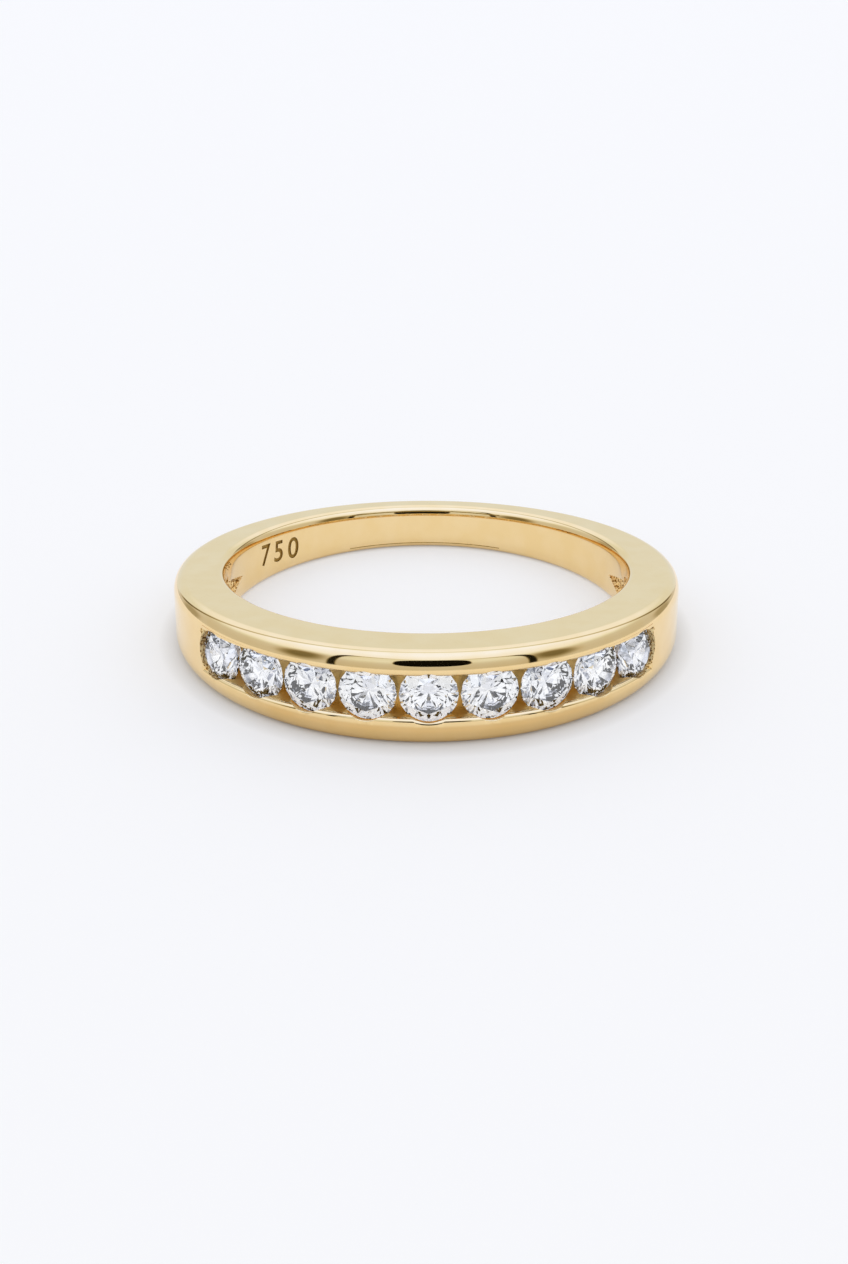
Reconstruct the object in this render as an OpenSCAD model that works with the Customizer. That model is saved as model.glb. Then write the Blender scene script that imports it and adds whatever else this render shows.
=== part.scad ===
// Channel-set band ring, lying on its lower side face.
// The shapes are drawn about the finger hole first: hole axis on Z, middle of the band at z = 0 and
// the stones at the front, towards -Y. The last step tips the ring onto its side face.

/* [Finger hole] */
// Inside diameter of the ring
bore_d = 16.9; // [15.3:0.1:19]
// Softening radius where the finger hole meets the side faces
bore_edge_r = 0.65; // [0.5:0.05:0.7]

/* [Band] */
// Thickness of the metal at the front, in line with the stones
front_t = 2.55; // [2.45:0.01:2.6]
// Thickness of the metal at the two sides
side_t = 2.16; // [2.1:0.01:2.3]
// Thickness of the metal at the back
back_t = 1.44; // [1.3:0.01:1.6]
// Width of the band across its side faces, measured level with the middle of the finger hole
band_w = 2.82; // [2.7:0.01:3.1]
// Lean of each side face, which makes the band wide at the front and narrow at the back
face_lean = 2.7; // [2:0.1:3]
// Softening radius where the side faces meet the outside
outer_edge_r = 0.8; // [0.6:0.05:0.85]

/* [Stones] */
// Number of stones in the channel
stone_count = 9; // [5:2:9]
// Diameter of a stone
stone_d = 2.28; // [2:0.01:2.28]
// Angle between neighbouring stones about the finger hole
stone_pitch = 12.9; // [12.9:0.05:13.2]
// Height of the girdle's middle above the finger hole's wall
girdle_rise = 1.97; // [1.92:0.01:2]
// Table width as a part of the stone's diameter
table_part = 0.57; // [0.53:0.01:0.62]
// Crown height as a part of the stone's diameter
crown_part = 0.15; // [0.13:0.01:0.16]
// Girdle thickness as a part of the stone's diameter
girdle_part = 0.03; // [0.02:0.005:0.04]
// Pavilion depth as a part of the stone's diameter
pavilion_part = 0.43; // [0.41:0.005:0.44]

/* [Channel] */
// Gap between the two lips, half way between stones
lip_gap = 1.8; // [1.6:0.05:1.9]
// Diameter of the round cut that bares each stone's crown
crown_cut_d = 2.08; // [1.95:0.01:2.1]
// Play between a stone and the metal round it
seat_play = 0.02; // [0.015:0.005:0.03]
// Depth of the channel floor below the girdle's middle
floor_drop = 0.45; // [0.35:0.05:0.5]
// Distance from the middle of the last stone to the channel's blunt end wall
end_reach = 0.98; // [0.94:0.01:1.1]
// Diameter of the light hole under each stone
light_hole_d = 1.1; // [0.8:0.05:1.2]

/* [Inner hollow] */
// Width of the hollow inside the band, behind the stones
hollow_w = 1.5; // [1:0.05:1.6]
// Depth of the hollow into the metal
hollow_depth = 0.75; // [0.4:0.05:0.8]
// Angle from the front to each pointed end of the hollow
hollow_reach = 109; // [100:1:115]
// Angle between the two edges of a pointed end
hollow_point = 66; // [40:1:90]

/* [Hidden] */
function stone_name(i) = str("stone_", i);

gold_colour = [0.87, 0.74, 0.49];
stone_colour = [0.93, 0.95, 0.98];

bore_r = bore_d / 2;
half_w = band_w / 2;
far = 2 * bore_d;
slip = 0.01;

// Angle at which a rounded edge meets the faces beside it
edge_meet = 28;

// The outside is the overlap of two round outlines of one radius, a little apart, so that the band
// is a touch wider from side to side than from front to back.
front_y = bore_r + front_t;
back_y = bore_r + back_t;
side_x = bore_r + side_t;
half_y = (front_y + back_y) / 2;
outer_r = (side_x * side_x + half_y * half_y) / (2 * half_y);
outline_shift = outer_r - half_y;
outer_y = -(front_y - back_y) / 2;

girdle_r = bore_r + girdle_rise;
stone_r = stone_d / 2;
table_r = stone_r * table_part;
crown_h = stone_d * crown_part;
girdle_h = stone_d * girdle_part;
pavilion_h = stone_d * pavilion_part;

// A stone has this many main facets above and below. The heights of the star and lower girdle
// corners keep each kite-shaped facet flat.
mains = 8;
half_step = 180 / mains;
star_r = (table_r * cos(half_step) + stone_r) / 2;
star_h = crown_h * (stone_r - star_r * cos(half_step)) / (stone_r - table_r);
lower_r = stone_r * 0.24;
lower_h = pavilion_h * (stone_r - lower_r * cos(half_step)) / stone_r;

floor_r = girdle_r - floor_drop;
row_half = (stone_count - 1) / 2 * stone_pitch;
end_angle = row_half + asin(end_reach / girdle_r);
hollow_r = bore_r + hollow_depth;

// Height of the finger hole's centre above the surface that the ring rests on
rest_h = half_w * cos(face_lean);

// Moves a shape from the middle of the band onto the upper side face (up = 1) or the lower (up = -1).
module on_face(up) {
    mirror([0, 0, up > 0 ? 0 : 1])
        translate([0, 0, half_w])
            rotate([-face_lean, 0, 0])
                children();
}

// Turns a shape from the front of the band, where +X is outwards, to the place of a stone.
module at_stone(i) {
    rotate([0, 0, -90 + (i - (stone_count + 1) / 2) * stone_pitch])
        translate([girdle_r, 0, 0])
            rotate([0, 90, 0])
                children();
}

// Metal that is taken off outside a rounded edge. The edge runs round a circle of radius r in a side
// face, with metal inside the circle (side = 1) or outside it (side = -1).
module edge_cut(r, edge_r, side) {
    round_r = edge_r / cos(edge_meet);
    rotate_extrude($fn = 180)
        difference() {
            translate([side > 0 ? r - edge_r : r - edge_r / 2, -edge_r])
                square([1.5 * edge_r, 2 * edge_r]);
            translate([r - side * edge_r, -edge_r])
                circle(round_r, $fn = 64);
        }
}

// Everything beyond one side face.
module beyond_face(up) {
    on_face(up)
        translate([-far, -far, 0])
            cube([2 * far, 2 * far, far]);
}

// Metal that is taken off both outer edges, along one of the two round outlines.
module outer_edges(shift) {
    for (up = [-1, 1])
        on_face(up)
            translate([0, outer_y + shift, 0])
                edge_cut(outer_r, outer_edge_r, 1);
}

// Metal that is taken off both edges of the finger hole.
module inner_edges() {
    for (up = [-1, 1])
        on_face(up)
            edge_cut(bore_r, bore_edge_r, -1);
}

module outline(shift) {
    translate([0, outer_y + shift, 0])
        cylinder(r = outer_r, h = far, center = true, $fn = 180);
}

// The band with sharp edges: both outlines, the finger hole and the two leaning side faces.
module sharp_band() {
    difference() {
        intersection() {
            outline(-outline_shift);
            outline(outline_shift);
        }
        cylinder(r = bore_r, h = far, center = true, $fn = 180);
        beyond_face(1);
        beyond_face(-1);
    }
}

// The band with soft edges and no channel yet. Each outline's edges come off in a step of their own.
module plain_band() {
    difference() {
        difference() {
            difference() {
                sharp_band();
                outer_edges(outline_shift);
            }
            outer_edges(-outline_shift);
        }
        inner_edges();
    }
}

// Straight channel between the lips, down to its floor, with blunt ends.
module channel() {
    rotate([0, 0, -90 - end_angle])
        rotate_extrude(angle = 2 * end_angle, $fn = 180)
            translate([floor_r, -lip_gap / 2])
                square([far, lip_gap]);
}

// Seat of one stone: girdle groove under the lips, round crown cut, cone and light hole.
module seat() {
    groove_r = stone_r + seat_play;
    groove_h = girdle_h / 2 + seat_play;
    crown_cut_r = crown_cut_d / 2;
    crown_rise = (stone_r - crown_cut_r) * star_h / (stone_r - star_r);
    translate([0, 0, -groove_h])
        cylinder(r = groove_r, h = 2 * groove_h, $fn = 96);
    translate([0, 0, groove_h])
        cylinder(r1 = groove_r, r2 = crown_cut_r, h = crown_rise, $fn = 96);
    translate([0, 0, groove_h])
        cylinder(r = crown_cut_r, h = far, $fn = 96);
    translate([0, 0, -groove_h - pavilion_h])
        cylinder(r1 = seat_play, r2 = groove_r, h = pavilion_h + slip, $fn = 96);
    translate([0, 0, hollow_r - girdle_r - slip])
        cylinder(d = light_hole_d, h = girdle_r - hollow_r - groove_h, $fn = 48);
}

// Hollow inside the band: a groove in the finger hole's wall that runs to a point at both ends.
module inner_hollow() {
    point_y = -hollow_r * cos(hollow_reach);
    slope_y = hollow_w / 2 / tan(hollow_point / 2);
    intersection() {
        difference() {
            cylinder(r = hollow_r, h = hollow_w, center = true, $fn = 180);
            cylinder(r = bore_r - 1, h = far, center = true, $fn = 180);
        }
        rotate([90, 0, 90])
            linear_extrude(far, center = true)
                polygon([
                    [-far, -hollow_w],
                    [-far, hollow_w],
                    [point_y - 2 * slope_y, hollow_w],
                    [point_y, 0],
                    [point_y - 2 * slope_y, -hollow_w]
                ]);
    }
}

module band() {
    color(gold_colour)
        at_rest()
            difference() {
                plain_band();
                channel();
                inner_hollow();
                for (i = [1 : stone_count])
                    at_stone(i) seat();
            }
}

// Points of a ring of corners at one height, where turn is a part of the step between them.
function corners(count, r, z, turn = 0) =
    [for (k = [0 : count - 1]) [r * cos((k + turn) * 360 / count), r * sin((k + turn) * 360 / count), z]];

// Round brilliant cut.
module brilliant() {
    hull()
        polyhedron_points(concat(
            corners(mains, table_r, girdle_h / 2 + crown_h),
            corners(mains, star_r, girdle_h / 2 + star_h, 0.5),
            corners(2 * mains, stone_r, girdle_h / 2),
            corners(2 * mains, stone_r, -girdle_h / 2),
            corners(mains, lower_r, -girdle_h / 2 - lower_h, 0.5),
            [[0, 0, -girdle_h / 2 - pavilion_h]]
        ));
}

// A closed shape through given corners, for hull() to wrap: a fan of thin faces over them all.
module polyhedron_points(points) {
    polyhedron(points, [for (k = [1 : len(points) - 2]) [0, k, k + 1]]);
}

module stone(i) {
    color(stone_colour)
        at_rest()
            at_stone(i) brilliant();
}

// Tips the ring onto its lower side face, with the middle of its length and breadth over the origin.
module at_rest() {
    translate([0, -(back_y - front_y) / 2, rest_h])
        rotate([-face_lean, 0, 0])
            children();
}

band();
for (i = [1 : stone_count])
    stone(i);
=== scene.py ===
# %% [markdown]
# # A channel-set band ring
# A polished gold band lies on its side. Its front holds a row of nine round brilliant stones between
# two lips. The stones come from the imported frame, because flat cut facets need nothing added. The
# metal is modelled again here with finer roundings, since polished gold shows every edge as a
# reflection. Each step below is one piece or one finish.

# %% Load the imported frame
import math

import bmesh
import bpy
from mathutils import Matrix, Vector


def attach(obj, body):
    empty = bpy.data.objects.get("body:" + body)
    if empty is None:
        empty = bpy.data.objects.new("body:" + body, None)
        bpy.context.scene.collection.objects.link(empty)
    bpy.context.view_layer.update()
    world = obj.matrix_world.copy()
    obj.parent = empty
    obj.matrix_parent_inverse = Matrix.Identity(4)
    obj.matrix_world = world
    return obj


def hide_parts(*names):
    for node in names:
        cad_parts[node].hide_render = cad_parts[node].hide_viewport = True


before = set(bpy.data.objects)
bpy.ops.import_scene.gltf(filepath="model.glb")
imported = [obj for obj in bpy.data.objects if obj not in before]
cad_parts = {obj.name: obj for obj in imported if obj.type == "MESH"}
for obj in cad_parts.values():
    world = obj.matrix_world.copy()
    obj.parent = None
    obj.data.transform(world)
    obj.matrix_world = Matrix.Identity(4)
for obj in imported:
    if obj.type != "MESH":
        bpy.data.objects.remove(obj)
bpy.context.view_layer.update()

STONES = [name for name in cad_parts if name.startswith("stone_")]
print("stones in the frame:", len(STONES))

# %% [markdown]
# ## Sizes
# A ring this small is easier to draw a thousand times larger, so one Blender unit stands for one
# millimetre until the band is finished. The drawing sits about the middle of the finger hole: the
# hole's axis is Z and the stones face -Y. The outside is an oval, a little wider than it is long,
# and its middle lies towards the stones, which makes the band thick there and thin at the back.

# %% Main sizes in millimetres
# The finger hole's radius, then the outside oval's half sizes and its middle along Y.
BORE_R = 8.45
OUT_X, OUT_Y, OUT_MID = 10.609, 10.445, -0.562
HALF_WIDTH = 1.41
# Each side face leans by this angle, which makes the band wide at the stones and narrow at the back.
LEAN = math.radians(2.7)
print("front thickness", round(OUT_Y - OUT_MID - BORE_R, 2), "back", round(OUT_Y + OUT_MID - BORE_R, 2))

# %% [markdown]
# ## The band's rows
# A caster makes the band in one piece. It could be drawn as a section swept round, but its section
# changes all the way: wide and thick at the stones, narrow and thin at the back. So the upper half is
# drawn first with one width all round, as ovals that are each extruded from the last: from the middle
# of the finger hole's wall over the side face to the middle of the outside. The width's taper comes
# after, in one step.

# %% A helper that extrudes one oval from the last
STEPS = 720
last_row = [BORE_R, BORE_R, 0, 0]


def clear_selection():
    """Goes back to object mode with nothing selected."""
    if bpy.context.object and bpy.context.object.mode != "OBJECT":
        bpy.ops.object.mode_set(mode="OBJECT")
    bpy.ops.object.select_all(action="DESELECT")


def next_row(radius_x, radius_y, middle, height):
    """Extrudes the last row to an oval of this size, with this middle along Y and this height."""
    shift = (0, middle - last_row[2], height - last_row[3])
    bpy.ops.mesh.extrude_region_move(TRANSFORM_OT_translate={"value": shift})
    growth = (radius_x / last_row[0], radius_y / last_row[1], 1)
    bpy.ops.transform.resize(value=growth, center_override=(0, middle, height))
    last_row[:] = (radius_x, radius_y, middle, height)


print("points in a row:", STEPS)

# %% [markdown]
# ## The finger hole's edge
# The inside edge of a comfortable ring is worn round. A bevel would give it one radius, but on the
# real edge the bend starts slowly on the wall and tightens towards the side face, which is why the
# reflection there runs out in a thin line. Three bends after each other draw that.

# %% Extrude the wall and the inner edge
# Where each bend starts and ends, in degrees from the wall's direction, and its radius.
INNER_BENDS = ((0, 8, 1.2), (8, 25, 0.75), (25, 90, 0.3))
BEND_STEPS = 5
# The edge reaches this many times further down the wall than its bends alone would take it.
STRETCH = 1.4
# One more row this far from a rounded edge keeps the flat face beside it flat in the reflections.
HOLD = 0.03

inner_edge = [(0.0, 0.0)]
for start, end, bend in INNER_BENDS:
    for i in range(BEND_STEPS):
        first, second = (math.radians(start + (end - start) * step / BEND_STEPS) for step in (i, i + 1))
        out, along = inner_edge[-1]
        inner_edge.append((out + bend * (math.cos(first) - math.cos(second)),
                           along + bend * (math.sin(second) - math.sin(first))))
clear_selection()
bpy.ops.mesh.primitive_circle_add(vertices=STEPS, radius=BORE_R)
band = bpy.context.object
band.name = "band_metal"
bpy.ops.object.mode_set(mode="EDIT")
edge_width, edge_depth = inner_edge[-1]
for out, along in inner_edge:
    next_row(BORE_R + out, BORE_R + out, 0, HALF_WIDTH - STRETCH * (edge_depth - along))
next_row(BORE_R + edge_width + HOLD, BORE_R + edge_width + HOLD, 0, HALF_WIDTH)
print("the inner edge takes", round(edge_width, 2), "mm of the side face")

# %% [markdown]
# ## The outside
# Towards the outside the side face turns over a softer edge into the wall that holds the stones. An
# arc that is higher than it is wide draws it, from 16 rows. The last two rows are the mouth of the
# channel to come and the middle of the band.

# %% Extrude the outer edge and the outside
OUT_EDGE = 0.5
OUT_STEPS = 16
# Parts of the half width: where the outer edge's rounding ends, and where the channel's mouth is.
WALL_PART, MOUTH_PART = 0.58, 0.466


def outer_row(inset, level):
    """A row along the outside, pulled in by the inset, at a level from 0 in the middle to 1."""
    next_row(OUT_X - inset, OUT_Y - inset, OUT_MID, level * HALF_WIDTH)


outer_row(OUT_EDGE + HOLD, 1)
for i in range(OUT_STEPS + 1):
    turn = math.pi / 2 * (1 - i / OUT_STEPS)
    outer_row(OUT_EDGE * (1 - math.cos(turn)), WALL_PART + (1 - WALL_PART) * math.sin(turn))
outer_row(0, MOUTH_PART)
outer_row(0, 0)
bpy.ops.object.mode_set(mode="OBJECT")
print("rows in the upper half:", len(band.data.vertices) // STEPS)

# %% [markdown]
# ## The other half
# The lower half is a mirror image, so a Mirror modifier makes it. Then the Taper of a Simple Deform
# modifier makes the whole band wider at the stones than at the back, as the two leaning side faces of
# the real casting do. Both are applied at once, because the next steps work on the mesh itself.

# %% Mirror the upper half and taper the width
CLOSE = 1e-4


def finish_modifier(piece, kind, **settings):
    """Adds a modifier with its settings and applies it."""
    clear_selection()
    piece.select_set(True)
    bpy.context.view_layer.objects.active = piece
    added = piece.modifiers.new(kind.lower(), kind)
    for name, value in settings.items():
        setattr(added, name, value)
    bpy.ops.object.modifier_apply(modifier=added.name)


finish_modifier(band, "MIRROR", use_axis=(False, False, True), merge_threshold=CLOSE)
taper = -math.tan(LEAN) / HALF_WIDTH * 2 * OUT_Y
finish_modifier(band, "SIMPLE_DEFORM", deform_method="TAPER", deform_axis="Y", lock_x=True, factor=taper)
front = max(vert.co.z for vert in band.data.vertices if vert.co.y < -OUT_Y)
print("half width at the stones:", round(front, 3))

# %% [markdown]
# ## The channel
# The channel is milled into the outside between the two lips that hold the stones. A boolean could
# cut it, but its faces are a neat grid already, so they are picked by their place and pushed straight
# in. Their edges must first be made level, because the rows spread apart towards the front as the
# band gets wider.

# %% Helpers that pick parts of the mesh
# How thick the inner part of the metal is, which the tests leave out, at the front and at the back.
INNER_FRONT, INNER_BACK = 1.2, 0.7


def choose(piece, part, test):
    """In edit mode, selects only the faces, edges or verts that pass the test, and counts them."""
    mesh = bmesh.from_edit_mesh(piece.data)
    bpy.ops.mesh.select_mode(type={"verts": "VERT", "edges": "EDGE", "faces": "FACE"}[part])
    bpy.ops.mesh.select_all(action="DESELECT")
    mesh.normal_update()
    found = [item for item in getattr(mesh, part) if test(item)]
    for item in found:
        item.select_set(True)
    mesh.select_flush_mode()
    bmesh.update_edit_mesh(piece.data)
    return len(found)


def turn_on_outline(place):
    """Angle from the stones' side about the middle of the outside oval, as the rows are divided."""
    return abs(math.atan2(place.x / OUT_X, -(place.y - OUT_MID) / OUT_Y))


def past_bore(place):
    """True for the outer part of the metal, which is thinner behind the finger hole's middle."""
    return math.hypot(place.x, place.y) > BORE_R + (INNER_BACK if place.y > 0 else INNER_FRONT)


bpy.ops.object.mode_set(mode="EDIT")
bpy.ops.mesh.select_all(action="SELECT")
bpy.ops.mesh.normals_make_consistent(inside=False)
print("faces of the plain band:", choose(band, "faces", lambda face: True))

# %% Level the channel's mouth
# Height of each lip's edge above and below the band's middle, and half the channel's angle.
UPPER_LIP, LOWER_LIP = 0.96, 0.78
CHANNEL_END = math.radians(58)
step_angle = 2 * math.pi / STEPS
for side, lip in ((1, UPPER_LIP), (-1, -LOWER_LIP)):
    def on_mouth_row(vert, side=side):
        row_height = side * MOUTH_PART * (HALF_WIDTH - vert.co.y * math.tan(LEAN))
        return (abs(vert.co.z - row_height) < CLOSE and past_bore(vert.co)
                and turn_on_outline(vert.co) < CHANNEL_END + 0.1 * step_angle)
    count = choose(band, "verts", on_mouth_row)
    bpy.ops.transform.resize(value=(1, 1, 0), center_override=(0, 0, lip))
    print("mouth points levelled:", count)

# %% Push the channel in
CHANNEL_DEPTH = 1.0


def in_mouth(face):
    """True for a face of the outside between the two lips."""
    middle = face.calc_center_median()
    return (-LOWER_LIP < middle.z < UPPER_LIP and past_bore(middle)
            and turn_on_outline(middle) < CHANNEL_END)


count = choose(band, "faces", in_mouth)
bpy.ops.mesh.extrude_region_shrink_fatten(TRANSFORM_OT_shrink_fatten={"value": -CHANNEL_DEPTH})
print("faces pushed in for the channel:", count)

# %% [markdown]
# ## The lips
# A setter files and polishes the lips once the stones are held, which leaves their edges round. A
# bevel on the two long edges of the channel's mouth draws that, and its bright line is what the eye
# takes for the lip. The channel's two blunt ends stay sharp, since no wheel reaches them.

# %% Round the mouth's edge
GIRDLE_R = 10.42
LIP_ROUND = 0.17
SHARP = math.radians(50)


def on_mouth_edge(edge):
    """True for an edge between the outside and the wall below a lip, apart from the blunt ends."""
    if len(edge.link_faces) != 2 or edge.calc_face_angle(0) < SHARP:
        return False
    ends = [vert.co for vert in edge.verts]
    along = abs(turn_on_outline(ends[0]) - turn_on_outline(ends[1])) > step_angle / 2
    return along and all(math.hypot(place.x, place.y) > GIRDLE_R and abs(place.z) < UPPER_LIP + 1e-3
                         and turn_on_outline(place) < CHANNEL_END + step_angle for place in ends)


count = choose(band, "edges", on_mouth_edge)
bpy.ops.mesh.bevel(offset=LIP_ROUND, segments=6, profile=0.5)
bpy.ops.object.mode_set(mode="OBJECT")
print("mouth edges rounded:", count)

# %% [markdown]
# ## Cutters for the seats
# A setter cuts each seat with a bur, a small steel cutter that turns about the stone's own axis. The
# seats could be drawn with loops of edges in the band's mesh, but then each circle would fight the
# rows. So the same is done as at the bench: a bur is drawn once as a short list of radii and heights,
# copied to each stone's place and taken away from the metal by a boolean.

# %% Turn a cutter from a profile
def turned(name, profile, sides=96):
    """A closed solid about Z, extruded upwards through (radius, height) steps."""
    clear_selection()
    radius, height = profile[0]
    bpy.ops.mesh.primitive_circle_add(vertices=sides, radius=radius, fill_type="NGON")
    piece = bpy.context.object
    piece.name = name
    bpy.ops.object.mode_set(mode="EDIT")
    bpy.ops.transform.translate(value=(0, 0, height))
    for new_radius, new_height in profile[1:]:
        rise = (0, 0, new_height - height)
        bpy.ops.mesh.extrude_region_move(TRANSFORM_OT_translate={"value": rise})
        growth = new_radius / radius
        bpy.ops.transform.resize(value=(growth, growth, 1), center_override=(0, 0, new_height))
        radius, height = new_radius, new_height
    bpy.ops.mesh.select_all(action="SELECT")
    bpy.ops.mesh.normals_make_consistent(inside=False)
    bpy.ops.object.mode_set(mode="OBJECT")
    print(name, "has", len(piece.data.polygons), "faces")
    return piece


# %% Find the stones' places
PITCH = math.radians(12.9)


def outside_radius(angle):
    """Distance from the finger hole's middle to the outside at an angle from the front."""
    across = (math.sin(angle) / OUT_X) ** 2 + (math.cos(angle) / OUT_Y) ** 2
    shift = math.cos(angle) * OUT_MID / OUT_Y ** 2
    rest = (OUT_MID / OUT_Y) ** 2 - 1
    return (-shift + math.sqrt(shift ** 2 - across * rest)) / across


# Angles of the stones about the finger hole, from left to right, with 0 at the front.
places = [(i - (len(STONES) - 1) / 2) * PITCH for i in range(len(STONES))]
print("outside radius at the front and at the last stone:",
      round(outside_radius(0), 2), round(outside_radius(places[-1]), 2))


# %% Copy a cutter to the stones and cut
def at_stones(cutter, angles, follow_outside=False, lift=0.0):
    """Copies a cutter to the stones at these angles and joins the copies. The cutter is used up."""
    copies = []
    for angle in angles:
        copy = cutter.copy()
        copy.data = cutter.data.copy()
        bpy.context.collection.objects.link(copy)
        distance = outside_radius(angle) if follow_outside else GIRDLE_R
        copy.matrix_world = (Matrix.Rotation(angle - math.pi / 2, 4, "Z")
                             @ Matrix.Translation((distance, 0, lift))
                             @ Matrix.Rotation(math.pi / 2, 4, "Y"))
        copies.append(copy)
    bpy.data.objects.remove(cutter)
    clear_selection()
    for copy in copies:
        copy.select_set(True)
    bpy.context.view_layer.objects.active = copies[0]
    if len(copies) > 1:
        bpy.ops.object.join()
    bpy.ops.object.transform_apply()
    return copies[0]


def cut_away(piece, cutter):
    """Takes the cutter away from the piece and removes the cutter."""
    finish_modifier(piece, "BOOLEAN", operation="DIFFERENCE", solver="MANIFOLD", object=cutter)
    bpy.data.objects.remove(cutter)
    print("faces after the cut:", len(piece.data.polygons))


# %% [markdown]
# ## Openings round the crowns
# The lips are pushed over the edge of each stone, so in the photograph they run in shallow waves, with
# a round bay at each crown. The bur that cuts a bay is widest at its point, because the lip overhangs
# the stone, and it flares where it leaves the metal, which rounds the bay's rim. The bays of the two
# end stones are a little smaller. At the middle stone a second bur, stretched along the row, makes the
# wide soft dip that both lips have there.

# %% Open the lips round each crown
# How far the bur reaches under the lip, and the heights of its point and its top above the outside.
UNDERCUT, BUR_POINT, BUR_TOP = 0.15, -0.44, 0.3


def crown_bur(radius, flare):
    """A bur that is widest at its point and flares at its top by a quarter of a circle."""
    turns = [math.radians(degrees) for degrees in range(0, 91, 15)]
    bend = [(radius + flare * (1 - math.cos(turn)), -flare * (1 - math.sin(turn))) for turn in turns]
    return turned("crown_bur", [(radius + UNDERCUT, BUR_POINT)] + bend + [(radius + flare, BUR_TOP)])


# Bur radius, flare, lift towards the upper lip, stretch along the row, and the stones it opens.
CROWN_CUTS = ((1.01, 0.05, 0.06, 1.0, places[1:-1]),
              (0.99, 0.05, 0.07, 1.0, [places[0], places[-1]]),
              (0.89, 0.17, 0.0, 1.5, [0.0]))
for radius, flare, lift, stretch, angles in CROWN_CUTS:
    bur = crown_bur(radius, flare)
    bpy.ops.transform.resize(value=(1, stretch, 1))
    bpy.ops.object.transform_apply()
    cut_away(band, at_stones(bur, angles, follow_outside=True, lift=lift))

# %% [markdown]
# ## Seats
# Under the lips each stone sits by its girdle in a groove, with a cone below it for its point and a
# light hole that lets light and water through. One more bur, with a step for each of them, cuts all
# of that at once, a few hundredths of a millimetre larger than the stone.

# %% Cut the seats
# Radius and height of each step: the light hole, the cone, the girdle's groove and the lip's slope.
SEAT_PROFILE = [(0.55, -1.6), (0.55, -0.578), (1.16, -0.054), (1.16, 0.054), (0.93, 0.254)]
cut_away(band, at_stones(turned("seat_bur", SEAT_PROFILE), places))

# %% [markdown]
# ## The inner hollow
# To save gold, the casting is hollowed from the inside behind the stones. The hollow is deepest at
# the front and runs out to a shallow point at each side, where it shows through the finger hole. It
# could be pushed in as the channel was, but its edges cross the rows at a slant. So it is a disc a
# little off the middle, trimmed to a point by two bisecting planes and then taken away.

# %% Hollow the inside
HOLLOW_R, HOLLOW_MID, HOLLOW_W = 8.75, -0.45, 1.5
HOLLOW_TIP = (0, 2.6, -0.15)
# Side of the band, and how many degrees the hollow's edge slopes there.
HOLLOW_SLOPES = ((1, 15), (-1, 22))
clear_selection()
bpy.ops.mesh.primitive_cylinder_add(vertices=360, radius=HOLLOW_R, depth=HOLLOW_W,
                                    location=(0, HOLLOW_MID, 0))
hollow = bpy.context.object
bpy.ops.object.transform_apply()
bpy.ops.object.mode_set(mode="EDIT")
for side, degrees in HOLLOW_SLOPES:
    slope = math.radians(degrees)
    bpy.ops.mesh.select_all(action="SELECT")
    bpy.ops.mesh.bisect(plane_co=HOLLOW_TIP, plane_no=(0, math.sin(slope), side * math.cos(slope)),
                        use_fill=True, clear_outer=True)
bpy.ops.object.mode_set(mode="OBJECT")
cut_away(band, hollow)

# %% [markdown]
# ## The number inside
# A ring carries its gold's fineness on the inside of the band. A plain number is engraved here: 750
# parts of gold in a thousand. The digits could be bump in a material, but a cut shows its own shadow.
# Each is a text object turned into a mesh and cut by itself, so that it follows the curve of the wall.

# %% Engrave the number
DIGIT_SIZE, DIGIT_WEIGHT, DIGIT_HALF = 1.36, 0.02, 0.2
DIGIT_LEAN = math.radians(-4.8)
CUT_DEPTH = 0.05
# Digit, degrees from the front, and height above the band's middle.
DIGITS = (("7", -122.4, 0.1), ("5", -128.5, 0.02), ("0", -134.8, -0.07))


def engrave(digit, angle, height):
    """Cuts one digit into the finger hole's wall."""
    clear_selection()
    bpy.ops.object.text_add()
    letter = bpy.context.object
    letter.data.body = digit
    letter.data.size = DIGIT_SIZE
    letter.data.offset = DIGIT_WEIGHT
    letter.data.extrude = DIGIT_HALF
    bpy.ops.object.convert(target="MESH")
    bpy.ops.object.origin_set(type="ORIGIN_GEOMETRY", center="BOUNDS")
    outward = Vector((math.sin(angle), -math.cos(angle), 0))
    right = Vector((-math.cos(angle), -math.sin(angle), 0))
    turn = Matrix((right, Vector((0, 0, 1)), -outward)).transposed().to_4x4()
    place = outward * (BORE_R + CUT_DEPTH - DIGIT_HALF) + Vector((0, 0, height))
    print(digit, "is", round(letter.dimensions.y, 2), "mm tall")
    letter.matrix_world = Matrix.Translation(place) @ turn @ Matrix.Rotation(DIGIT_LEAN, 4, "Z")
    bpy.ops.object.transform_apply()
    bpy.ops.object.mode_set(mode="EDIT")
    bpy.ops.mesh.select_all(action="SELECT")
    bpy.ops.mesh.remove_doubles(threshold=CLOSE)
    bpy.ops.mesh.normals_make_consistent(inside=False)
    bpy.ops.object.mode_set(mode="OBJECT")
    cut_away(band, letter)


for digit, degrees, height in DIGITS:
    engrave(digit, math.radians(degrees), height)

# %% [markdown]
# ## Which faces are polished
# The outside, the side faces, the finger hole and the lips are polished. The polishing wheel never
# reaches the channel's ends, the hollow and the light holes, so they stay as rough as they came out of
# the mould. The channel between the stones is smooth but dull, and the engraved digits are burnt
# darker. One material could tell these apart by place, but a slot for each is plainer: the faces are
# picked by where they are while the drawing still sits about the finger hole.

# %% Material slots of the band
def material(name):
    """A new material with nodes and nothing in it."""
    made = bpy.data.materials.new(name)
    made.use_nodes = True
    made.node_tree.nodes.clear()
    return made


polished_gold = material("polished_gold")
cast_gold = material("cast_gold")
engraved_gold = material("engraved_gold")
satin_gold = material("satin_gold")
band.data.materials.clear()
for made in (polished_gold, satin_gold, cast_gold, engraved_gold):
    band.data.materials.append(made)
print("slots:", [slot.name for slot in band.material_slots])

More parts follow.
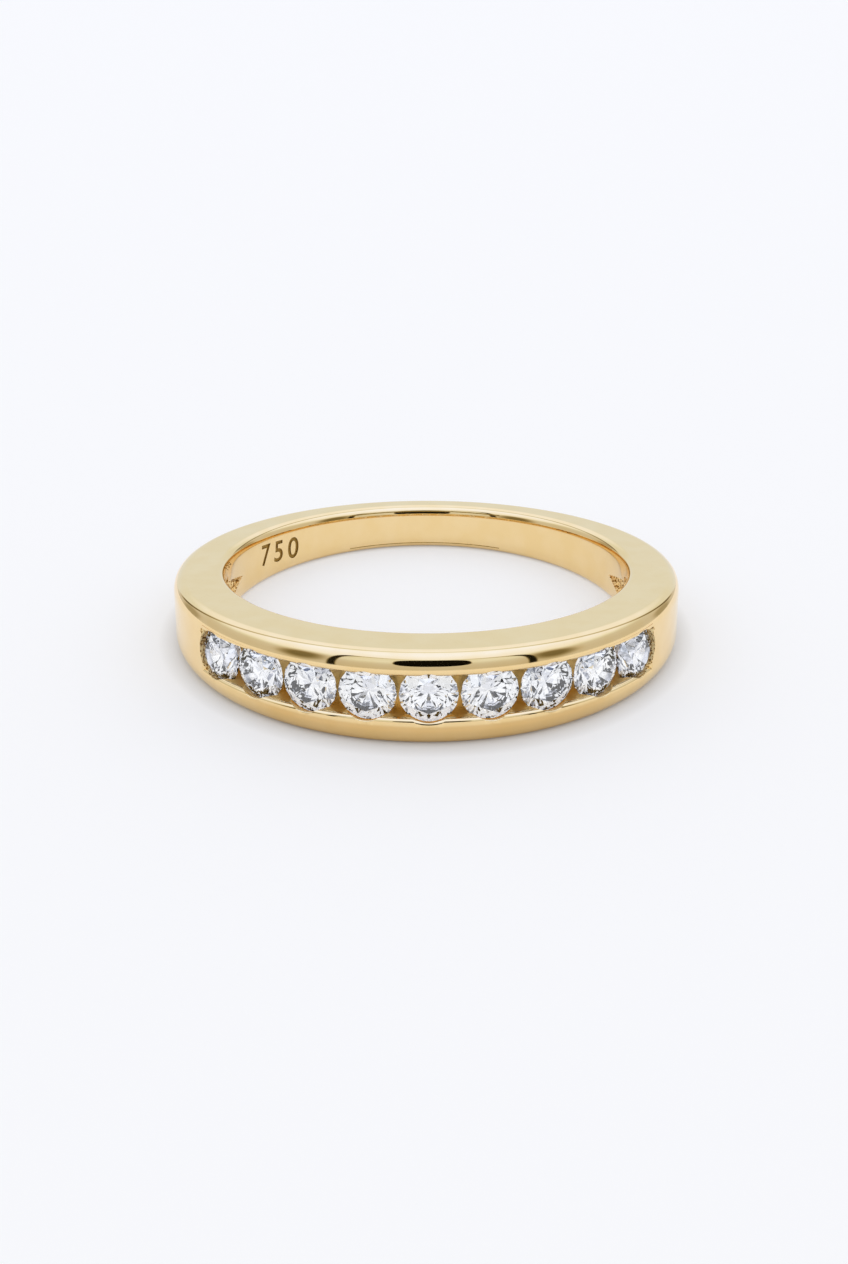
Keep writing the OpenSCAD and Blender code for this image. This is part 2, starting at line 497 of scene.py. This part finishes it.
# %% Tell the faces apart
# The channel lies past this radius and the hollow before it, and the number lies past this Y.
FLOOR_R = 9.3
NUMBER_Y = 4
# A face on the finger hole's wall lies less than this past its radius.
WALL_SKIN = 0.03
# A face stands on edge if less than this part of its normal points outwards or inwards.
ON_EDGE = 0.5
# Furthest height from the middle of a face of the seats, of the channel's end and of a digit.
SEAT_REACH, END_REACH, DIGIT_REACH = 1.2, 0.95, 0.8


def where(face):
    """A face's middle, its radius and angle from the front, and whether it stands on edge."""
    middle = face.calc_center_median()
    angle = abs(math.atan2(middle.x, -middle.y))
    on_edge = abs(face.normal.dot(middle.xy.to_3d().normalized())) < ON_EDGE
    return middle, math.hypot(middle.x, middle.y), angle, on_edge


def in_channel(face):
    """True for a face of the channel and of the seats, well below the lips."""
    middle, radius, angle, _ = where(face)
    below_lips = FLOOR_R < radius < outside_radius(angle) - LIP_ROUND
    return below_lips and abs(middle.z) < SEAT_REACH and angle < CHANNEL_END


def left_cast(face):
    """True for a face of the channel's ends or of the inner hollow."""
    middle, radius, angle, on_edge = where(face)
    if BORE_R + WALL_SKIN < radius < FLOOR_R:
        return abs(middle.z) < HOLLOW_W / 2 + 1e-3 and middle.y < NUMBER_Y
    at_end = on_edge and radius > FLOOR_R and abs(middle.z) < END_REACH
    return at_end and places[-1] < angle < CHANNEL_END + 0.01


def is_engraved(face):
    """True for the floor and the steep sides of a digit in the finger hole's wall."""
    middle, radius, _, on_edge = where(face)
    depth = radius - BORE_R
    cut = 0.002 < depth < CUT_DEPTH + 0.01 and (on_edge or depth > CUT_DEPTH - 0.005)
    return middle.y > NUMBER_Y and abs(middle.z) < DIGIT_REACH and cut


clear_selection()
band.select_set(True)
bpy.context.view_layer.objects.active = band
bpy.ops.object.mode_set(mode="EDIT")
for index, test in ((1, in_channel), (2, left_cast), (3, is_engraved)):
    count = choose(band, "faces", test)
    band.active_material_index = index
    bpy.ops.object.material_slot_assign()
    print(band.data.materials[index].name, "faces:", count)
bpy.ops.object.mode_set(mode="OBJECT")

# %% [markdown]
# ## Lay the ring on its side
# A ring that is put down comes to rest on its side face. The finished band shrinks to its real size in
# metres and tips onto that face, where the frame has it. Its place is then applied to the mesh, so
# that the object itself sits at the origin. Smoothing stops at 30 degrees: the roundings look round,
# and the channel's ends and the digits stay crisp.

# %% Tip the band over and put it in its place
# Where the finger hole's middle comes to lie, in millimetres above and behind the frame's origin.
REST_PLACE = Vector((0, 0.555, 1.4085))
clear_selection()
band.select_set(True)
bpy.context.view_layer.objects.active = band
tipped = Matrix.Translation(REST_PLACE / 1000) @ Matrix.Rotation(-LEAN, 4, "X")
band.matrix_world = tipped @ Matrix.Scale(0.001, 4)
bpy.ops.object.transform_apply()
bpy.ops.object.shade_smooth_by_angle(angle=math.radians(30))
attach(band, "root")
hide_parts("band")
low = [round(1000 * min(vert.co[i] for vert in band.data.vertices), 3) for i in range(3)]
high = [round(1000 * max(vert.co[i] for vert in band.data.vertices), 3) for i in range(3)]
print("band from", low, "to", high, "mm")

# %% [markdown]
# ## How the materials are made
# Each material is a small tree of nodes. A pattern in it starts from a place on the object in
# millimetres, so a noise with a scale of one over a size has clouds of about that size in
# millimetres. A web colour has to be turned into the linear values that light adds up in.

# %% Helpers for nodes and colours
def linear(web_colour):
    """Turns a web colour such as #FFCC00 into linear red, green, blue and alpha."""
    parts = [int(web_colour[i:i + 2], 16) / 255 for i in (1, 3, 5)]
    return [p / 12.92 if p <= 0.04045 else ((p + 0.055) / 1.055) ** 2.4 for p in parts] + [1.0]


def node(tree, kind, inputs=None, stops=(), **settings):
    """Adds a node with its settings. Each input gets a value, a socket or a node's first output,
    and a colour ramp gets a list of (position, colour) stops."""
    added = tree.nodes.new("ShaderNode" + kind)
    for name, value in settings.items():
        setattr(added, name, value)
    for key, value in (inputs or {}).items():
        source = value.outputs[0] if isinstance(value, bpy.types.Node) else value
        if isinstance(source, bpy.types.NodeSocket):
            tree.links.new(source, added.inputs[key])
        else:
            added.inputs[key].default_value = source
    if stops:
        elements = added.color_ramp.elements
        elements[0].position, elements[0].color = stops[0]
        elements[1].position, elements[1].color = stops[-1]
        for position, colour in stops[1:-1]:
            elements.new(position).color = colour
    return added


def millimetres(tree, stretch=(1, 1, 1)):
    """A place on the object, with one unit to the millimetre. A stretch draws a pattern finer."""
    place = node(tree, "TexCoord").outputs["Object"]
    return node(tree, "Mapping", {"Vector": place, "Scale": [1000 * s for s in stretch]})


print("the web colour #F5D69B is linear", [round(part, 3) for part in linear("#F5D69B")])

# %% [markdown]
# ## Polished 18 carat gold
# The shank is 18 carat yellow gold, three parts of gold in four, ground and then polished with rouge
# on a felt wheel. Gold is a metal, so its whole look is its reflection, and the base colour is only
# the colour that it gives to white light. The wheel leaves a gloss that isn't quite even, and
# hairlines round the band. They are a fiftieth of a millimetre wide, finer than the picture's pixels,
# and need no coarser drawing: on a fresh polish the eye sees no line, only a trace of softness.

# %% Polished gold
# Sizes in millimetres of the clouds in the colour, of the wear and of a hairline before its stretch.
CLOUD, WEAR, HAIRLINE = 1.11, 0.286, 0.167
tree = polished_gold.node_tree
place = millimetres(tree)
cloud = node(tree, "TexNoise", {"Vector": place, "Scale": 1 / CLOUD, "Detail": 2})
colour = node(tree, "ValToRGB", {"Fac": cloud}, [(0.35, linear("#F5D69B")), (0.65, linear("#F7DAA3"))])
wear = node(tree, "TexNoise", {"Vector": place, "Scale": 1 / WEAR, "Detail": 5})
roughness = node(tree, "MapRange", {"Value": wear, "To Min": 0.02, "To Max": 0.06})
# The stretch makes a hairline 0.4 mm long round the band and 0.02 mm wide across it.
along_band = millimetres(tree, stretch=(0.4, 0.4, 9))
hairline = node(tree, "TexNoise", {"Vector": along_band, "Scale": 1 / HAIRLINE, "Detail": 3})
bump = node(tree, "Bump", {"Height": hairline, "Strength": 0.006, "Distance": 0.00001})
shader = node(tree, "BsdfPrincipled", {
    "Base Color": colour, "Metallic": 1.0, "Roughness": roughness, "Normal": bump})
node(tree, "OutputMaterial", {"Surface": shader})
print("polished gold has", len(tree.nodes), "nodes")

# %% [markdown]
# ## Gold as it sparkles through the stones
# Behind each stone lies gold, yet the stones look white. Light enters a real stone, bounces between
# facets and metal many times and comes out as white and grey flecks. A path tracer would need many
# bounces to find it, and a small ring shows only a few pixels of it. So for light that comes through
# a stone, the metal below is a painted sparkle: a glowing pattern of flecks about a third of a
# millimetre wide. Seen past the stones it stays gold.

# %% A finish that turns into painted sparkle behind a stone
FLECK = 0.3125


def seen_in_stones(tree, place, shader):
    """The shader as it is, but a painted sparkle of white and grey glowing flecks for light through a stone.
    """
    fleck = node(tree, "TexNoise", {"Vector": place, "Scale": 1 / FLECK, "Detail": 1})
    painted_sparkle = node(tree, "ValToRGB", {"Fac": fleck}, [(0.42, linear("#8A8E98")), (0.58, linear("#F4F6FF"))])
    glow = node(tree, "Emission", {"Color": painted_sparkle})
    through = node(tree, "LightPath").outputs["Is Transmission Ray"]
    return node(tree, "MixShader", {0: through, 1: shader, 2: glow})


print("fleck size", FLECK, "mm")

# %% [markdown]
# ## Dull gold of the channel
# Between the stones the same gold was cut by the bur and brushed, but no wheel reached it. Its fine
# cut marks spread each reflection, so it looks satin and a little deeper in colour. The marks are
# finer than the render shows. They are drawn as a grain of a twentieth of a millimetre, which only
# breaks up the highlights. The faint glow is light that bounces to and fro in the narrow channel.

# %% Satin gold
SATIN_CLOUD, BUR_GRAIN = 0.625, 0.0556
tree = satin_gold.node_tree
place = millimetres(tree)
cloud = node(tree, "TexNoise", {"Vector": place, "Scale": 1 / SATIN_CLOUD, "Detail": 3})
colour = node(tree, "ValToRGB", {"Fac": cloud}, [(0.35, linear("#E8BC6C")), (0.65, linear("#F2CC84"))])
grain = node(tree, "TexNoise", {"Vector": place, "Scale": 1 / BUR_GRAIN, "Detail": 2})
bump = node(tree, "Bump", {"Height": grain, "Strength": 0.3, "Distance": 0.00001})
# The emission is a painted glow for the light that bounces to and fro in the channel.
shader = node(tree, "BsdfPrincipled", {
    "Base Color": colour, "Metallic": 1.0, "Roughness": 0.42, "Normal": bump,
    "Emission Color": linear("#FFBF45"), "Emission Strength": 0.02})
node(tree, "OutputMaterial", {"Surface": seen_in_stones(tree, place, shader)})
print("satin gold has", len(tree.nodes), "nodes")

# %% [markdown]
# ## Gold as it left the mould
# The channel's ends and the hollow are as cast: the skin that gold takes from a plaster mould, with grains
# and small pits. Its colour is painted from brown shade in the pits to pale yellow glints, so it glitters.
# Two patterns make it: rounded cells for the grains and a noise for the pits, each about a tenth of a
# millimetre. Real grains are some hundredths of a millimetre, and are drawn coarser so that they show. A
# painted glow and less metal keep the pits from turning black, since each pit lights the next.

# %% Cast gold
GRAIN, PIT = 0.125, 0.1
tree = cast_gold.node_tree
place = millimetres(tree)
grain = node(tree, "TexVoronoi", {"Vector": place, "Scale": 1 / GRAIN}, feature="SMOOTH_F1")
pits_and_painted_shade = node(tree, "TexNoise", {"Vector": place, "Scale": 1 / PIT, "Detail": 4})
height = node(tree, "Math", {0: grain, 1: pits_and_painted_shade}, operation="ADD")
# The colour paints shade into the pits, deep brown, and pale glints on the raised skin.
colour = node(tree, "ValToRGB", {"Fac": pits_and_painted_shade}, [
    (0.39, linear("#6A4410")), (0.46, linear("#C8984A")), (0.56, linear("#FFE8B0"))])
bump = node(tree, "Bump", {"Height": height, "Strength": 0.7, "Distance": 0.00005})
# The emission is a painted glow in that same colour.
shader = node(tree, "BsdfPrincipled", {
    "Base Color": colour, "Metallic": 0.4, "Roughness": 0.45, "Normal": bump,
    "Emission Color": colour, "Emission Strength": 0.12})
node(tree, "OutputMaterial", {"Surface": seen_in_stones(tree, place, shader)})
print("cast gold has", len(tree.nodes), "nodes")

# %% [markdown]
# ## Engraved gold
# The number is burnt into the gold by a laser. The beam melts the metal and leaves it brown and
# rough, which is what makes a shallow number readable. A noise of less than a tenth of a millimetre
# mottles the colour and roughens the floor of the cut.

# %% Engraved gold
BURN = 0.0714
tree = engraved_gold.node_tree
place = millimetres(tree)
burn = node(tree, "TexNoise", {"Vector": place, "Scale": 1 / BURN, "Detail": 3})
colour = node(tree, "ValToRGB", {"Fac": burn}, [(0.3, linear("#8E6C26")), (0.7, linear("#B08A3E"))])
bump = node(tree, "Bump", {"Height": burn, "Strength": 0.5, "Distance": 0.00002})
shader = node(tree, "BsdfPrincipled", {
    "Base Color": colour, "Metallic": 0.6, "Roughness": 0.5, "Normal": bump})
node(tree, "OutputMaterial", {"Surface": shader})
print("engraved gold has", len(tree.nodes), "nodes")

# %% [markdown]
# ## Cut diamond
# The stones are diamonds, cut and polished facet by facet on a cast iron wheel with diamond dust. The
# facets are flat and as smooth as a mirror, so nothing is rough or bumpy. Diamond bends light more
# than any other clear stone, by a factor of 2.417, and this makes the facets flash. Its body is
# clear, with only a trace of blue in clouds under a millimetre wide.

# %% Cut diamond on the frame's stones
TRACE = 0.833
cut_stone = material("cut_diamond")
tree = cut_stone.node_tree
trace = node(tree, "TexNoise", {"Vector": millimetres(tree), "Scale": 1 / TRACE, "Detail": 2})
colour = node(tree, "ValToRGB", {"Fac": trace}, [(0.3, linear("#F6F9FF")), (0.7, linear("#FFFFFF"))])
shader = node(tree, "BsdfPrincipled", {
    "Base Color": colour, "Roughness": 0.0, "IOR": 2.417, "Transmission Weight": 1.0})
node(tree, "OutputMaterial", {"Surface": shader})
for name in STONES:
    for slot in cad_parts[name].material_slots:
        slot.material = cut_stone
print("stones with the diamond finish:", len(STONES))

# %% [markdown]
# ## Floor
# The ring lies on a plain surface of matt white paint. In a light tent such a floor is lit through the
# cloth as well, so it glows a little, and the ring's shadow stays soft. Close round the band the glow
# fades out, which paints a darker shadow there. Floor before the stones that the gold mirrors from less
# than about two millimetres away is warm: a painted warm bounce for the colour that the gold throws on
# it. Far away the floor fades for reflections, so that the gold shows the tent there. A plane with a
# painted picture could do all this, but nodes that work from distances need no picture.

# %% A floor with a faint glow
GLOW = 0.33
# Distances in metres between which the glow fades, inside the band and outside it.
# The fade paints a darker shadow round the band.
INSIDE_FADE, OUTSIDE_FADE = (0.0088, 0.0096), (0.0098, 0.0114)
clear_selection()
bpy.ops.mesh.primitive_plane_add(size=4)
floor = bpy.context.object
floor.name = "floor"
floor_paint = material("floor_paint")
floor.data.materials.append(floor_paint)
tree = floor_paint.node_tree
place = node(tree, "TexCoord").outputs["Object"]
reach = node(tree, "VectorMath", {0: place}, operation="LENGTH").outputs["Value"]
inner_glow = node(tree, "MapRange", {"Value": reach, "From Min": INSIDE_FADE[0], "From Max": INSIDE_FADE[1],
                                     "To Min": GLOW, "To Max": 0.0})
outer_glow = node(tree, "MapRange", {"Value": reach, "From Min": OUTSIDE_FADE[0],
                                     "From Max": OUTSIDE_FADE[1], "To Min": 0.0, "To Max": GLOW})
glow = node(tree, "Math", {0: inner_glow, 1: outer_glow}, operation="ADD")
print("the floor glows at", GLOW, "away from the band")

# %% Painted warm bounce in reflections close to the stones' side
SMOOTH = {"interpolation_type": "SMOOTHSTEP"}
# Metres between which the painted warm bounce sets in along Y, and fades with the length of the mirrored ray.
FRONT_FADE, NEAR_FADE = (-0.0065, -0.0095), (0.0018, 0.0025)
path = node(tree, "LightPath").outputs
mirrored = path["Is Glossy Ray"]
in_gold = node(tree, "Math", {0: mirrored, 1: path["Is Transmission Ray"]}, operation="GREATER_THAN")
forward = node(tree, "SeparateXYZ", {"Vector": place}).outputs["Y"]
in_front = node(tree, "MapRange", {"Value": forward, "From Min": FRONT_FADE[0],
                                   "From Max": FRONT_FADE[1]}, **SMOOTH)
near = node(tree, "MapRange", {"Value": path["Ray Length"], "From Min": NEAR_FADE[0],
                               "From Max": NEAR_FADE[1], "To Min": 1.0, "To Max": 0.0})
painted_warm_bounce = node(tree, "Math", {0: in_front, 1: in_gold}, operation="MULTIPLY")
painted_warm_bounce = node(tree, "Math", {0: painted_warm_bounce, 1: near}, operation="MULTIPLY")
tint = node(tree, "Mix", {0: painted_warm_bounce, 6: linear("#F8FAFF"), 7: linear("#CEAF69")},
            data_type="RGBA").outputs[2]
print("nodes of the floor so far:", len(tree.nodes))

# %% Matt white paint that fades in reflections
# Distances in metres between which the floor fades out for the gold.
FLOOR_FADE = (0.024, 0.032)
shader = node(tree, "BsdfPrincipled", {
    "Base Color": linear("#CECED0"), "Roughness": 0.9, "Emission Color": tint, "Emission Strength": glow})
beyond = node(tree, "MapRange", {"Value": reach, "From Min": FLOOR_FADE[0], "From Max": FLOOR_FADE[1]},
              **SMOOTH)
share = node(tree, "Math", {0: beyond, 1: mirrored}, operation="MULTIPLY")
clear = node(tree, "BsdfTransparent")
paint = node(tree, "MixShader", {0: share, 1: shader, 2: clear})
node(tree, "OutputMaterial", {"Surface": paint})
print("nodes of the floor:", len(tree.nodes))

# %% [markdown]
# ## Light tent
# Polished gold shows the studio more than itself. Small jewels are photographed in a tent of white
# cloth: light from all sides, brightest overhead, with one opening where the camera looks in. Lamps
# and white cards could build it, but each would be a hard-edged shape in the gold. Here the tent is
# the world, and its light is worked out from the direction alone: how many degrees to the side of the
# stones' side, and how many above the floor.

# %% Directions in the light tent
world = bpy.data.worlds.new("light_tent")
bpy.context.scene.world = world
world.use_nodes = True
tree = world.node_tree
tree.nodes.clear()
axes = node(tree, "SeparateXYZ", {"Vector": node(tree, "TexCoord").outputs["Generated"]}).outputs
to_front = node(tree, "Math", {0: axes["Y"], 1: -1.0}, operation="MULTIPLY")
turn_round = node(tree, "Math", {0: axes["X"], 1: to_front}, operation="ARCTAN2")
across = node(tree, "Math", {0: turn_round}, operation="DEGREES")
aside = node(tree, "Math", {0: across}, operation="ABSOLUTE")
upward = node(tree, "Math", {0: node(tree, "Math", {0: axes["Z"]}, operation="ARCSINE")}, operation="DEGREES")
print("nodes for a direction:", len(tree.nodes))


# %% Helpers that draw light and shade on the tent
def level_along(value, low, high, stops):
    """A level that follows a value between low and high through a list of (value, level) stops."""
    share = node(tree, "MapRange", {"Value": value, "From Min": low, "From Max": high})
    greys = [((at - low) / (high - low), (level, level, level, 1)) for at, level in stops]
    return node(tree, "ValToRGB", {"Fac": share}, greys)


def oval(turn, middle, rise, height, half_wide, half_high, power=2.0):
    """How far a direction lies from an oval's middle: 1 on its rim. A higher power squares it."""
    parts = []
    for value, centre, half in ((turn, middle, half_wide), (rise, height, half_high)):
        offset = node(tree, "Math", {0: value, 1: centre}, operation="SUBTRACT")
        part = node(tree, "Math", {0: offset, 1: half}, operation="DIVIDE")
        part = node(tree, "Math", {0: part}, operation="ABSOLUTE")
        parts.append(node(tree, "Math", {0: part, 1: power}, operation="POWER"))
    total = node(tree, "Math", {0: parts[0], 1: parts[1]}, operation="ADD")
    return node(tree, "Math", {0: total, 1: 1 / power}, operation="POWER")


def dimmed(light, distance, outer, inner, amount):
    """Takes light away: nothing past the outer distance, and the full amount within the inner."""
    spot = node(tree, "MapRange", {"Value": distance, "From Min": outer, "From Max": inner}, **SMOOTH)
    taken = node(tree, "Math", {0: spot, 1: amount}, operation="MULTIPLY")
    kept = node(tree, "Math", {0: 1.0, 1: taken}, operation="SUBTRACT")
    return node(tree, "Math", {0: light, 1: kept}, operation="MULTIPLY")


print("nodes before the tent's walls:", len(tree.nodes))

# %% [markdown]
# ## Walls of the tent
# The tent's walls get brighter with height, and its back hangs in a curve of its own, a little
# brighter low down. Where two cloths meet there is a seam, which the back of the band shows as a fine
# dark line. Two soft dim spots at each side stand for the folds of the cloth: they give the sides of
# the band their deeper gold.

# %% Walls of the light tent
sides = level_along(upward, -10, 90, [
    (-10, 0.7), (5, 0.7), (18, 0.8), (24, 1.08), (28, 1.38), (36, 1.6), (60, 2.1), (90, 2.0)])
behind = level_along(upward, -10, 90, [(-10, 1.0), (18, 1.05), (30, 1.45), (60, 1.6), (90, 1.9)])
# The back begins where the direction's Y and this part of its Z together pass the seam.
BACK_SLOPE, SEAM = 0.72, 0.78
sloped = node(tree, "Math", {0: axes["Z"], 1: BACK_SLOPE}, operation="MULTIPLY")
back = node(tree, "Math", {0: axes["Y"], 1: sloped}, operation="ADD")
on_back = node(tree, "MapRange", {"Value": back, "From Min": SEAM - 0.02, "From Max": SEAM + 0.02}, **SMOOTH)
tent = node(tree, "Mix", {"Factor": on_back, "A": sides, "B": behind})
print("nodes of the tent with its walls:", len(tree.nodes))

# %% Seam and folds of the cloth
# The seam is this wide at the floor, and wider by the second value overhead.
SEAM_WIDTH, SEAM_GROWTH = 0.03, 0.09
above_floor = node(tree, "Math", {0: axes["Z"], 1: 0.0}, operation="MAXIMUM")
width = node(tree, "Math", {0: above_floor, 1: SEAM_GROWTH, 2: SEAM_WIDTH}, operation="MULTIPLY_ADD")
from_seam = node(tree, "Math", {0: back, 1: SEAM}, operation="SUBTRACT")
from_seam = node(tree, "Math", {0: from_seam}, operation="ABSOLUTE")
from_seam = node(tree, "Math", {0: from_seam, 1: width}, operation="DIVIDE")
depth = level_along(upward, -10, 90, [
    (-3, 0.0), (4, 0.88), (10, 0.8), (30, 0.65), (50, 0.6), (65, 0.5), (90, 0.35)])
tent = dimmed(tent, from_seam, 1.2, 0.5, depth)
# Each fold's middle in degrees aside and upward, half its width and height, the part of that which
# is its core, and how much light it takes there.
FOLDS = ((126, -2, 12, 14, 0.4, 0.4), (56, 11, 16, 22, 0.25, 0.74))
for turn, height, half_wide, half_high, core, amount in FOLDS:
    tent = dimmed(tent, oval(aside, turn, upward, height, half_wide, half_high), 1.1, core, amount)
print("nodes of the tent with its folds:", len(tree.nodes))

# %% [markdown]
# ## Opening of the tent
# The camera looks in through a wide opening with rounded corners, which leans a little to one side.
# Through it the gold sees a paler room, and the dark edge of the cloth round it. In its middle is the
# lens, which is nearly black. These are the long dark lines in the upper lip and on the back of the
# band: without them, gold looks like yellow plastic.

# %% Opening of the light tent, with the lens
# Degrees: the opening's middle, half its width and half its height. It leans by a part of its width.
MIDDLE, HOOD_WIDE, HOOD_HIGH, HOOD_LEAN = 2.0, 43, 34, 0.1
leaning = node(tree, "Math", {0: across, 1: HOOD_LEAN, 2: upward}, operation="MULTIPLY_ADD")
hood = oval(across, MIDDLE, leaning, 0, HOOD_WIDE, HOOD_HIGH, power=8.0)
room = level_along(upward, -10, 90, [
    (-10, 0.62), (0, 0.68), (5, 0.72), (10, 0.8), (15, 0.97), (20, 1.15), (30, 1.1)])
from_middle = node(tree, "Math", {0: across, 1: MIDDLE}, operation="SUBTRACT")
from_middle = node(tree, "Math", {0: from_middle}, operation="ABSOLUTE")
at_sides = node(tree, "MapRange", {"Value": from_middle, "From Min": 33, "From Max": 40,
                                   "To Min": 1.0, "To Max": 0.9}, **SMOOTH)
room = node(tree, "Math", {0: room, 1: at_sides}, operation="MULTIPLY")
in_hood = node(tree, "MapRange", {"Value": hood, "From Min": 1.0, "From Max": 0.98}, **SMOOTH)
tent = node(tree, "Mix", {"Factor": in_hood, "A": tent, "B": room})
print("nodes of the tent with its opening:", len(tree.nodes))

# %% Edge of the opening, and the lens
from_rim = node(tree, "Math", {0: hood, 1: 1.0}, operation="SUBTRACT")
from_rim = node(tree, "Math", {0: from_rim}, operation="ABSOLUTE")
rim_depth = level_along(from_middle, 0, 90, [(8, 0.1), (24, 0.55), (34, 0.6), (40, 0.98)])
tent = dimmed(tent, from_rim, 0.06, 0.03, rim_depth)
# Degrees: the lens's height, half its width and half its height, and the light that it lets pass.
LENS_UP, LENS_WIDE, LENS_HIGH, LENS_LIGHT = 17.5, 17, 14, 0.005
lens = oval(across, MIDDLE, upward, LENS_UP, LENS_WIDE, LENS_HIGH, power=3.0)
past_lens = node(tree, "MapRange", {"Value": lens, "From Min": 0.97, "From Max": 1.03,
                                    "To Min": LENS_LIGHT, "To Max": 1.0}, **SMOOTH)
tent = node(tree, "Math", {0: tent, 1: past_lens}, operation="MULTIPLY")
print("nodes of the tent with its lens:", len(tree.nodes))

# %% [markdown]
# ## Colours of the tent
# A camera turns a bright reflection in gold almost white and a dim one deep yellow. A Standard view
# has no such curve, so the tent's own colour makes up for it in reflections: it turns from warm and
# dark to cool and bright. Light that comes through a stone sees a plain white tent with a dark round
# in it, where the viewer's head and camera keep the light out. That gives the facets their contrast.
# To the camera itself the tent is one pale white.

# %% Colours of the light tent
BRIGHTEST = 2.5
# These are levels of light that pass 1, so they aren't web colours.
TINTS = [(0.0, (0.0, 0.0, 0.0, 1)), (0.088, (0.23, 0.2, 0.11, 1)), (0.16, (0.4, 0.375, 0.29, 1)),
         (0.24, (0.61, 0.6, 0.58, 1)), (0.33, (0.7, 0.74, 0.8, 1)), (0.43, (0.82, 0.92, 1.03, 1)),
         (0.6, (0.99, 1.12, 1.5, 1)), (1.0, (1.08, 1.36, 2.4, 1))]
# Degrees: the height and half the size of the viewer's head. Then the light beside it.
HEAD_UP, HEAD_SIZE, STONE_LIGHT = 24.2, 15.5, 1.12
part = node(tree, "Math", {0: tent, 1: BRIGHTEST}, operation="DIVIDE")
mirrored_tent = node(tree, "ValToRGB", {"Fac": part}, TINTS)
from_head = oval(across, 0, upward, HEAD_UP, HEAD_SIZE, HEAD_SIZE)
past_head = node(tree, "MapRange", {"Value": from_head, "From Min": 0.95, "From Max": 1.05,
                                    "To Min": 0.0, "To Max": STONE_LIGHT}, **SMOOTH)
refracted_tent = node(tree, "CombineColor", {"Red": past_head, "Green": past_head, "Blue": past_head})
print("stops in the tent's colour:", len(TINTS))

# %% What each kind of light ray sees
path = node(tree, "LightPath").outputs
seen = node(tree, "Mix", {0: path["Is Camera Ray"], 6: (1, 1, 1, 1), 7: linear("#F8FAFF")},
            data_type="RGBA").outputs[2]
for ray, light in (("Is Glossy Ray", mirrored_tent), ("Is Transmission Ray", refracted_tent)):
    seen = node(tree, "Mix", {0: path[ray], 6: seen, 7: light}, data_type="RGBA").outputs[2]
background = node(tree, "Background", {"Color": seen, "Strength": 1.0})
node(tree, "OutputWorld", {"Surface": background})
bpy.context.scene.view_settings.view_transform = "Standard"
print("nodes of the light tent:", len(tree.nodes))

# %% [markdown]
# ## Camera
# The photograph looks down on the ring from the stones' side. The camera's height, turn and distance
# could be set by eye, but they were worked out once from the ring's outlines in the photograph. They
# are written as angles and a distance from the finger hole's middle, and the aim is moved so that this
# middle falls on the same spot of the picture.

# %% Camera
# The photograph's size, its focal length and the finger hole's middle, in pixels.
PHOTO, FOCAL_PX, RING_PX = (848, 1264), 1989, (426.2, 593.7)
RISE, TURN, DISTANCE = math.radians(21.5), math.radians(-0.54), 0.085
SENSOR = 36
eye = tipped @ Vector((
    DISTANCE * math.sin(TURN) * math.cos(RISE), -DISTANCE * math.cos(TURN) * math.cos(RISE),
    DISTANCE * math.sin(RISE)))
ahead = (REST_PLACE / 1000 - eye).normalized()
rightward = ahead.cross(Vector((0, 0, 1))).normalized()
above = rightward.cross(ahead)
aim = (ahead - rightward * (RING_PX[0] - PHOTO[0] / 2) / FOCAL_PX
       + above * (RING_PX[1] - PHOTO[1] / 2) / FOCAL_PX)
bpy.ops.object.camera_add(location=eye, rotation=aim.to_track_quat("-Z", "Y").to_euler())
camera = bpy.context.object
camera.data.sensor_width = SENSOR
camera.data.lens = FOCAL_PX * SENSOR / PHOTO[1]
camera.data.clip_start = 0.005
camera.data.clip_end = 10
bpy.context.scene.camera = camera
print("camera height above the floor:", round(math.degrees(math.asin(-ahead.z)), 2), "degrees")
